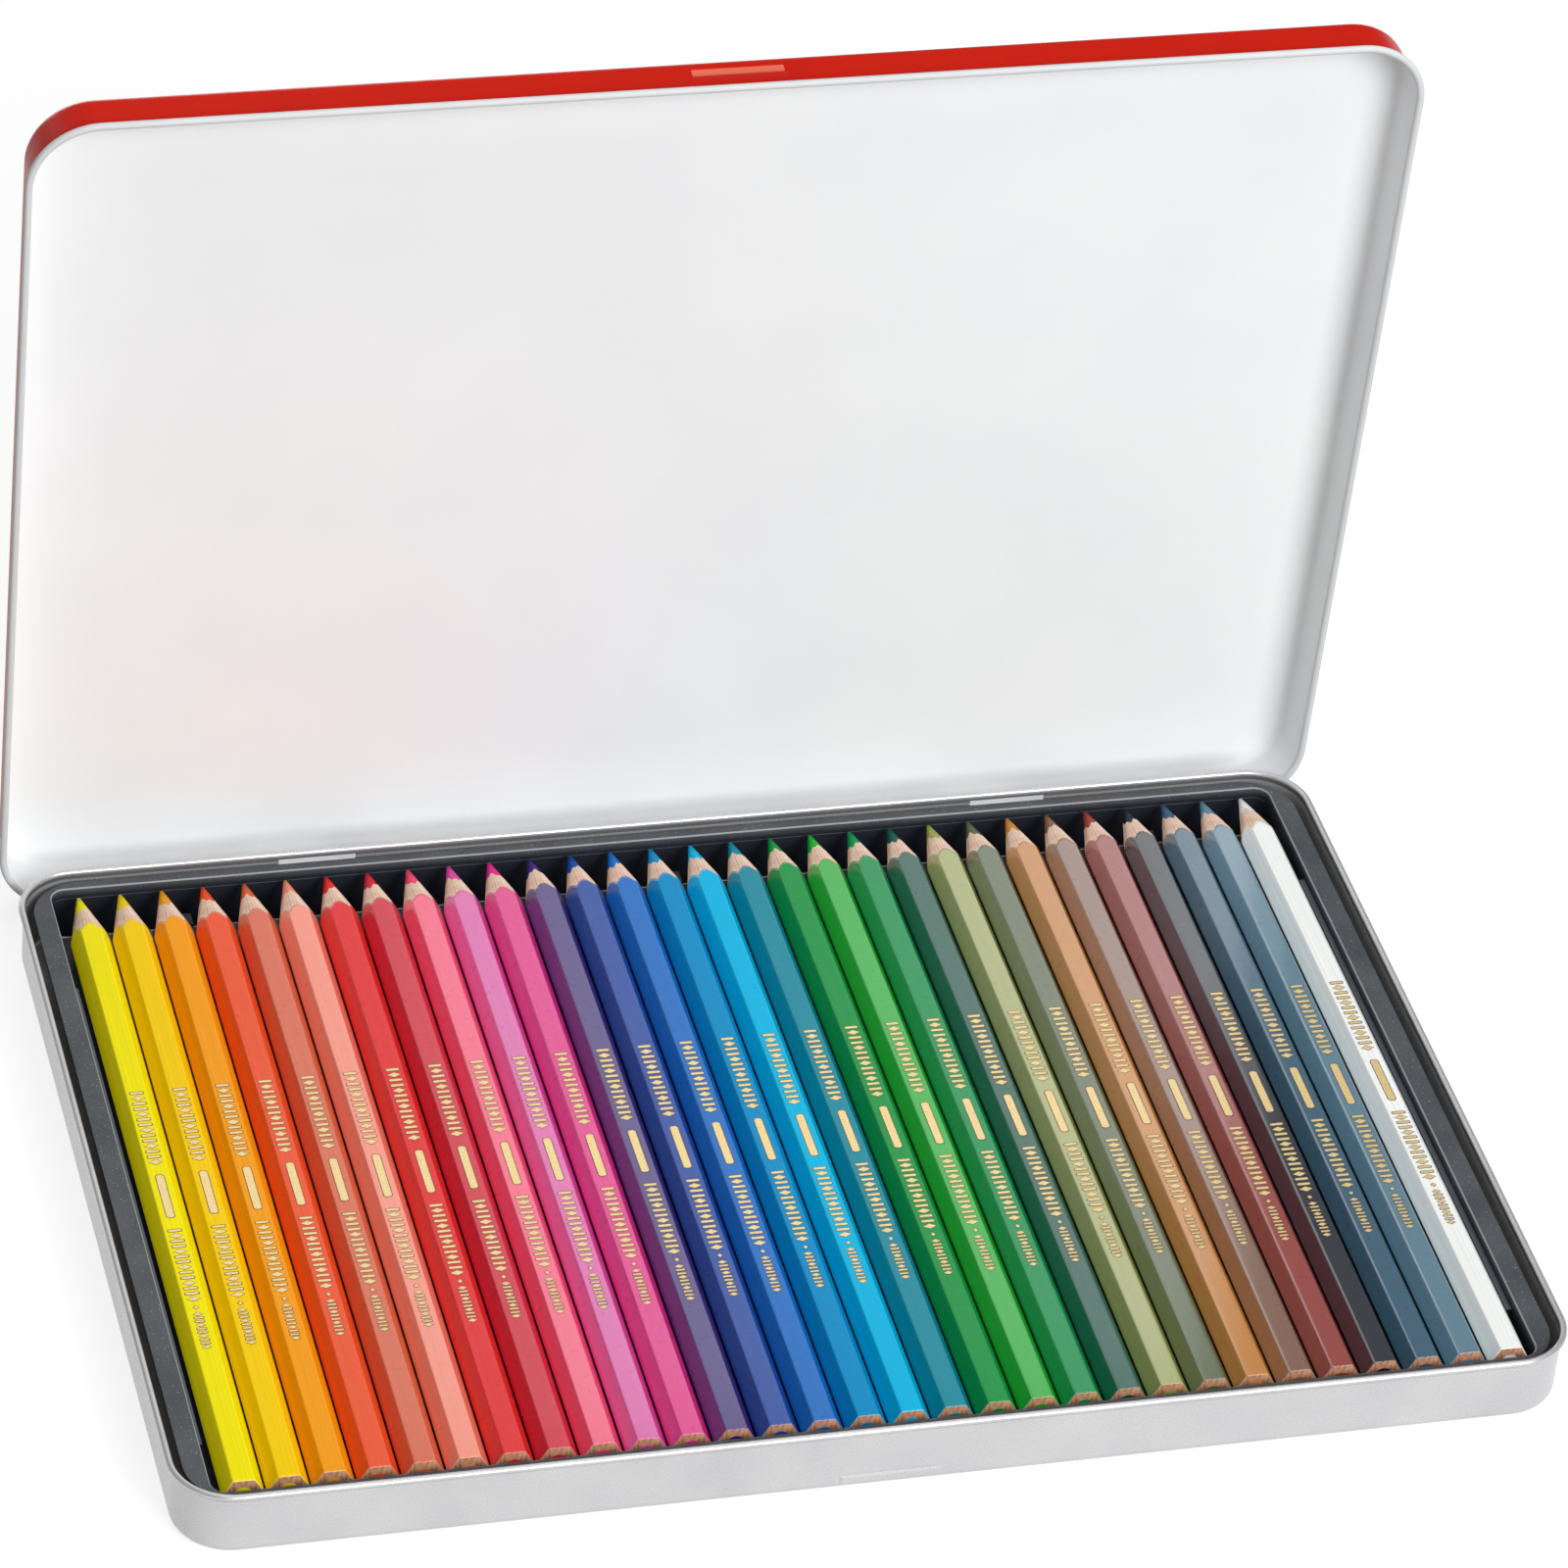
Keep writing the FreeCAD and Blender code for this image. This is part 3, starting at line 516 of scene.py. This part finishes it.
def outline_stations(half_width, half_length, corner, front_stops, back_stops):
    """Round a rounded rectangle: the point to turn about, the outward direction and the side."""
    near_x, near_y = half_width - corner, half_length - corner
    sides = (
        ("front", [(stop, -near_y) for stop in (-near_x, *front_stops, near_x)], (0.0, -1.0)),
        ("right", [(near_x, -near_y), (near_x, near_y)], (1.0, 0.0)),
        ("back", [(stop, near_y) for stop in (near_x, *reversed(back_stops), -near_x)], (0.0, 1.0)),
        ("left", [(-near_x, near_y), (-near_x, -near_y)], (-1.0, 0.0)),
    )
    stations = []
    for index, (side, points, outward) in enumerate(sides):
        stations += [(Vector(point), Vector(outward), side) for point in points]
        for step in range(1, ARC_STEPS):
            angle = math.radians(90 * (index - 1 + step / ARC_STEPS))
            outward_here = Vector((math.cos(angle), math.sin(angle)))
            stations.append((Vector(points[-1]), outward_here, "corner"))
    return stations


class LidFrame:
    """The shut lid's own coordinates, rim at height zero, swung open about its hinge."""

    def __init__(self):
        hinge = JOINTS["lid_hinge"]
        self.pivot = Vector(hinge["pos_m"])
        self.swing = math.radians(-hinge["range_deg"][0])

    def place(self, point, height):
        """Where a point of the shut lid lies when the lid is open."""
        along, rise = point.y - self.pivot.y, height - HEM_RADIUS
        sine, cosine = math.sin(self.swing), math.cos(self.swing)
        back = self.pivot.y + along * cosine + rise * sine
        up = self.pivot.z - along * sine + rise * cosine
        return point.x, back, up


def lid_stations(lid):
    """Stations round the lid, with stops at the ends of the catch and of the hinge slots."""
    _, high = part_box("tin_lid")
    half_width = high.x - HEM_OFFSET - HEM_RADIUS
    half_length = lid.pivot.y - HEM_OFFSET
    catch = CATCH_HALF_WIDTH - CATCH_TAPER
    front_stops = (-CATCH_HALF_WIDTH, -catch, catch, CATCH_HALF_WIDTH)
    back_stops = [
        side * HINGE_OFFSET + edge * SLOT_HALF_WIDTH for side in (-1, 1) for edge in (-1, 1)
    ]
    return outline_stations(half_width, half_length, LID_CORNER, front_stops, back_stops)


def lid_profile(thickness):
    """Offsets and heights of one face of the lid's sheet, from the hem up to the panel."""
    radius = LID_BEND - thickness
    catch_levels = (CATCH_LOW, CATCH_LOW + CATCH_SLOPE, CATCH_HIGH - CATCH_SLOPE, CATCH_HIGH)
    rows = [(-thickness, level) for level in (HEM_RADIUS, SLOT_HEIGHT, *catch_levels)]
    for step in range(BEND_STEPS + 1):
        angle = math.radians(90 * step / BEND_STEPS)
        offset = radius * math.cos(angle) - LID_BEND
        rows.append((offset, LID_DEPTH - LID_BEND + radius * math.sin(angle)))
    rows.append((-LID_BEND - PANEL_MARGIN, LID_DEPTH - thickness))
    return [
        (offset - LID_DRAFT * (height - HEM_RADIUS) / LID_DEPTH, height)
        for offset, height in rows
    ]


def dent_depth(station, height):
    """How far the catch is pressed in at one place, deepest towards the rim and zero outside it."""
    centre, _, side = station
    across = side == "front" and abs(centre.x) <= CATCH_HALF_WIDTH - CATCH_TAPER
    if not across or not CATCH_LOW < height < CATCH_HIGH:
        return 0.0
    return CATCH_DEPTH * (CATCH_HIGH - height) / (CATCH_HIGH - CATCH_LOW)


def in_slot(first, second):
    """Whether the stretch between two stations is one of the hinge slots."""
    middle = (first[0] + second[0]) / 2
    on_back = first[2] == "back" and second[2] == "back"
    return on_back and abs(abs(middle.x) - HINGE_OFFSET) < SLOT_HALF_WIDTH


def lid_rings(bm, lid, stations, thickness):
    """Rings of points of one face of the lid's sheet, and those in the catch dent."""
    rings, dent = [], []
    for offset, height in lid_profile(thickness):
        ring = []
        for station in stations:
            centre, outward, _ = station
            depth = dent_depth(station, height)
            point = centre + outward * (LID_CORNER + offset - depth)
            ring.append(bm.verts.new(lid.place(point, height)))
            if depth:
                dent.append(ring[-1])
        rings.append(ring)
    return rings, dent


def press_dent(bm, dent):
    """Sharp edges for the catch dent, and a paler red on its floor as a painted highlight."""
    for corner in dent:
        for edge in corner.link_edges:
            edge.smooth = False
    pressed = set(dent)
    for face in bm.faces:
        if face.material_index == OUTSIDE and pressed.issuperset(face.verts):
            face.material_index = DENT_HIGHLIGHT


def make_lid_shell(lid, stations, materials):
    """Two-faced lid sheet with its catch dent and hinge slots."""
    bm = bmesh.new()
    outer, outer_dent = lid_rings(bm, lid, stations, 0.0)
    inner, inner_dent = lid_rings(bm, lid, stations, SHEET)
    pairs = round_pairs(len(stations))
    slots = [in_slot(stations[index], stations[after]) for index, after in pairs]
    for material, rings in ((OUTSIDE, outer), (INSIDE, inner)):
        for row, (low, high) in enumerate(zip(rings, rings[1:])):
            for (index, after), slot in zip(pairs, slots):
                if row > 0 or not slot:
                    add_face(bm, (low[index], low[after], high[after], high[index]), material)
        add_face(bm, rings[-1], material)
    for (index, after), slot in zip(pairs, slots):
        out_low, in_low = (outer[1], inner[1]) if slot else (outer[0], inner[0])
        add_face(bm, (out_low[index], out_low[after], in_low[after], in_low[index]), INSIDE)
        for edge in (index, after) if slot else ():
            add_face(bm, (outer[0][edge], outer[1][edge], inner[1][edge], inner[0][edge]), INSIDE)
    press_dent(bm, outer_dent + inner_dent)
    shell = new_piece("lid_shell", bm, materials, "lid")
    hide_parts("tin_lid")


def make_lid_hem(lid, stations, material):
    """The hem rolled outward round the lid's rim."""
    bm = bmesh.new()
    rings = []
    for step in range(HEM_STEPS):
        angle = math.radians(360 * step / HEM_STEPS)
        offset = HEM_OFFSET + HEM_RADIUS * math.cos(angle)
        height = HEM_RADIUS + HEM_RADIUS * math.sin(angle)
        points = [centre + outward * (LID_CORNER + offset) for centre, outward, _ in stations]
        rings.append([bm.verts.new(lid.place(point, height)) for point in points])
    for step, after in round_pairs(HEM_STEPS):
        join_rings(bm, rings[step], rings[after], 0)
    hem = new_piece("lid_hem", bm, (material,), "lid")


def make_lid():
    """The lid's shell, red outside and white inside, and its hem in a darker copy of the white as
    painted shade.
    """
    lid = LidFrame()
    stations = lid_stations(lid)
    white = white_lacquer("lid_inner_white", *LID_WHITES)
    hem_shaded_white = white_lacquer("lid_hem_shaded_white", *HEM_SHADED_WHITES)
    red = red_lacquer("lid_outer_red", *LID_REDS)
    # The dent's floor gets a paler red as a painted highlight
    dent_highlight_red = red_lacquer("lid_dent_highlight_red", *DENT_HIGHLIGHT_REDS)
    make_lid_shell(lid, stations, (red, white, dent_highlight_red))
    make_lid_hem(lid, stations, hem_shaded_white)


# Pencils

LACQUER, CUT_EDGE, WOOD, LEAD, END = range(5)
FLAT_STEPS = 6
EDGE_STEPS = 4
CONE_RINGS = 5
LEAD_RINGS = 2


def hexagon_stations():
    """Angles and reaches round a rounded hexagon whose flats lie above and below."""
    half = PENCIL_FLATS / 2
    lean = math.radians(180 / PENCIL_SIDES)
    bend = (half - PENCIL_EDGE_RADIUS) / math.cos(lean)
    turn = math.atan((half - PENCIL_EDGE_RADIUS) * math.tan(lean) / half)
    stations = []
    for side in range(PENCIL_SIDES):
        facing = lean + 2 * lean * side
        for step in range(FLAT_STEPS + 1):
            tilt = turn * (2 * step / FLAT_STEPS - 1)
            stations.append((facing + tilt, half / math.cos(tilt)))
        for step in range(1, EDGE_STEPS):
            swing = (lean - turn) * (2 * step / EDGE_STEPS - 1)
            rounding = math.sqrt(PENCIL_EDGE_RADIUS ** 2 - (bend * math.sin(swing)) ** 2)
            stations.append((facing + lean + swing, bend * math.cos(swing) + rounding))
    return stations


def lead_border(angle, number):
    """Reach of the wavy border between wood and lead at one angle, other for each pencil."""
    waves = (
        share * math.sin(count * angle + shift * number) for share, count, shift in BORDER_WAVES
    )
    return LEAD_RADIUS * sum(waves, start=1.0)


def pencil_mesh(length, number):
    """Sawn end, hexagonal stick, scalloped paint edge, sharpened wood and coloured point."""
    slope = math.tan(math.radians(CONE_HALF_ANGLE))
    stations = hexagon_stations()
    count = len(stations)
    bm = bmesh.new()

    def ring(reaches, heights):
        return [
            bm.verts.new((reach * math.cos(angle), height, reach * math.sin(angle)))
            for (angle, _), reach, height in zip(stations, reaches, heights)
        ]

    def cone_ring(reaches):
        return ring(reaches, [length - (reach - TIP_RADIUS) / slope for reach in reaches])

    hexagon = [reach for _, reach in stations]
    bare = [reach - UNDERCOAT for reach in hexagon]
    border = [lead_border(angle, number) for angle, _ in stations]
    core = ring([LEAD_RADIUS] * count, [0.0] * count)
    rim = ring([reach - LACQUER_RIM for reach in hexagon], [0.0] * count)
    lip = ring(hexagon, [LACQUER_RIM] * count)
    shoulder = cone_ring(hexagon)
    add_face(bm, core, LEAD)
    join_rings(bm, core, rim, END)
    join_rings(bm, rim, lip, CUT_EDGE)
    join_rings(bm, lip, shoulder, LACQUER)
    last = cone_ring(bare)
    join_rings(bm, shoulder, last, CUT_EDGE)
    neck = [POINT_NECK_SHARE * TIP_RADIUS] * count
    wood_run = (CONE_RINGS, bare, border, WOOD)
    lead_run = (LEAD_RINGS, border, neck, LEAD)
    for steps, starts, ends, material in (wood_run, lead_run):
        for step in range(1, steps + 1):
            part = step / steps
            after = cone_ring([start + (end - start) * part for start, end in zip(starts, ends)])
            join_rings(bm, last, after, material)
            last = after
    point_end = length - POINT_SINK_SHARE * TIP_RADIUS
    point = ring([POINT_END_SHARE * TIP_RADIUS] * count, [point_end] * count)
    join_rings(bm, last, point, LEAD)
    add_face(bm, point, LEAD)
    for edge_ring in (core, rim, lip, shoulder):
        sharpen(edge_ring)
    return bm


def make_pencil(node, number, wood, end_grain):
    """One lacquered pencil in place of its solids; gives back its place and its body."""
    low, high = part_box(node)
    name = node.split("_", 2)[2]
    pigment, coat = PIGMENTS[name]
    tint = colour(*pigment)
    materials = (
        lacquer(f"lacquer_{name}", tint, coat),
        undercoat(f"undercoat_{name}", tint),
        wood,
        lead(f"lead_{name}", tint),
        end_grain,
    )
    place = Vector(((low.x + high.x) / 2, low.y, (low.z + high.z) / 2))
    body = f"pencil_{number:02d}"
    pencil = new_piece(f"{body}_stick", pencil_mesh(high.y - low.y, number), materials, body, place)
    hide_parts(node)
    return place, body


def lozenge(middle, length, height):
    """Outline of a diamond, across and along the pencil."""
    side, end = height / 2, length / 2
    return [(-side, middle), (0.0, middle - end), (side, middle), (0.0, middle + end)]


def bar(middle, length, height):
    """Outline of a bar with its corners cut."""
    near, far, side = middle - length / 2, middle + length / 2, height / 2
    cut = min(length, height) * CORNER_SHARE
    return [
        (-side + cut, near), (side - cut, near), (side, near + cut), (side, far - cut),
        (side - cut, far), (-side + cut, far), (-side, far - cut), (-side, near + cut),
    ]


def stamped_marks():
    """Kind, middle, length and height of plain diamonds, strokes and bars along the pencil."""
    marks = []
    for start, count, pitch, height in FOIL_ROWS:
        for index in range(count):
            kind, share = (bar, STROKE_SHARE) if index % DIAMOND_EVERY else (lozenge, DIAMOND_SHARE)
            marks.append((kind, start + index * pitch, share * pitch, height))
    marks.append((lozenge, *FOIL_DOT))
    marks.append((bar, *FOIL_BAR))
    return marks


def add_prism(bm, outline, low, high, material):
    """A thin closed plate over an outline."""
    foot = [bm.verts.new((across, along, low)) for across, along in outline]
    head = [bm.verts.new((across, along, high)) for across, along in outline]
    add_face(bm, foot, material)
    add_face(bm, head, material)
    join_rings(bm, foot, head, material)


def make_foil(body, place, gold, shadow_plate):
    """Gold marks on the upper flat, each on a slightly larger plate painted as the shadow of its
    pressed edge.
    """
    bm = bmesh.new()
    flat = PENCIL_FLATS / 2
    # The larger plates carry the painted shadow round each mark
    for grow, lift, material in ((FOIL_SHADOW_MARGIN, FOIL_LIFT, 1), (0.0, 2 * FOIL_LIFT, 0)):
        for kind, middle, length, height in stamped_marks():
            outline = kind(middle, length + 2 * grow, height + 2 * grow)
            add_prism(bm, outline, flat - FOIL_SINK, flat + lift, material)
    foil = new_piece(f"{body}_foil", bm, (gold, shadow_plate), body, place, smooth=False)


def make_pencils():
    """The whole row of pencils with their stamping."""
    wood, end_grain, gold, shadow_plate = cedar(), sawn_end(), gold_foil(), stamp_painted_shadow()
    for number, node in enumerate(PENCILS, start=1):
        place, body = make_pencil(node, number, wood, end_grain)
        make_foil(body, place, gold, shadow_plate)


# Tin base and tray keep their solids

def dress_node(node, material):
    """A material on a node that shows as it is."""
    for holder in NODES[node].material_slots:
        holder.material = material


# Stage, light and camera

def make_floor():
    """A white floor that keeps a soft shadow and gives the object less light than it shows."""
    shader = Shader("studio_floor")
    ray = shader.add("LightPath").outputs
    seen = shader.math("MAXIMUM", ray["Is Camera Ray"], ray["Is Glossy Ray"])
    seen = shader.math("MAXIMUM", seen, ray["Is Transmission Ray"])
    plain = shader.add("BsdfDiffuse", {"Color": FLOOR_TINT})
    glow = shader.add("Emission", {"Color": WHITE, "Strength": FLOOR_GLOW})
    lit = shader.add("AddShader", {0: plain.outputs[0], 1: glow.outputs[0]})
    surface = shader.add("MixShader", {0: seen, 1: plain.outputs[0], 2: lit.outputs[0]})
    shader.add("OutputMaterial", {"Surface": surface.outputs[0]})
    half = FLOOR_SIDE / 2
    sides = ((-half, -half), (half, -half), (half, half), (-half, half))
    mesh = bpy.data.meshes.new("studio_floor")
    mesh.from_pydata([(x, y, -FLOOR_GAP) for x, y in sides], [], [(0, 1, 2, 3)])
    mesh.materials.append(shader.material)
    floor = bpy.data.objects.new("studio_floor", mesh)
    bpy.context.scene.collection.objects.link(floor)


def make_world():
    """Even faint light from all sides."""
    world = bpy.data.worlds.new("studio_world")
    world.use_nodes = True
    background = world.node_tree.nodes["Background"]
    background.inputs["Color"].default_value = WHITE
    background.inputs["Strength"].default_value = WORLD_LEVEL
    bpy.context.scene.world = world


def area_light(name, place, target, size, power):
    """A rectangular lamp turned towards a target."""
    lamp = bpy.data.lights.new(name, "AREA")
    lamp.shape = "RECTANGLE"
    lamp.size, lamp.size_y = size
    lamp.energy = power
    holder = bpy.data.objects.new(name, lamp)
    holder.location = place
    holder.rotation_euler = (Vector(target) - Vector(place)).to_track_quat("-Z", "Y").to_euler()
    bpy.context.scene.collection.objects.link(holder)


def make_camera():
    """The camera of the photo."""
    lens = bpy.data.cameras.new("camera")
    lens.sensor_width = SENSOR
    lens.lens = FOCAL_PIXELS / PHOTO_SIDE * SENSOR
    camera = bpy.data.objects.new("camera", lens)
    camera.location = CAMERA_PLACE
    camera.rotation_euler = Euler([math.radians(angle) for angle in CAMERA_TURN])
    bpy.context.scene.collection.objects.link(camera)
    bpy.context.scene.camera = camera


dress_node("tin_base", tin_silver())
dress_node("pencil_tray", tray_plastic())
make_lid()
make_pencils()
make_floor()
make_world()
for lamp_name, lamp_values in LAMPS.items():
    area_light(lamp_name, *lamp_values)
make_camera()
bpy.context.scene.view_settings.view_transform = "Standard"
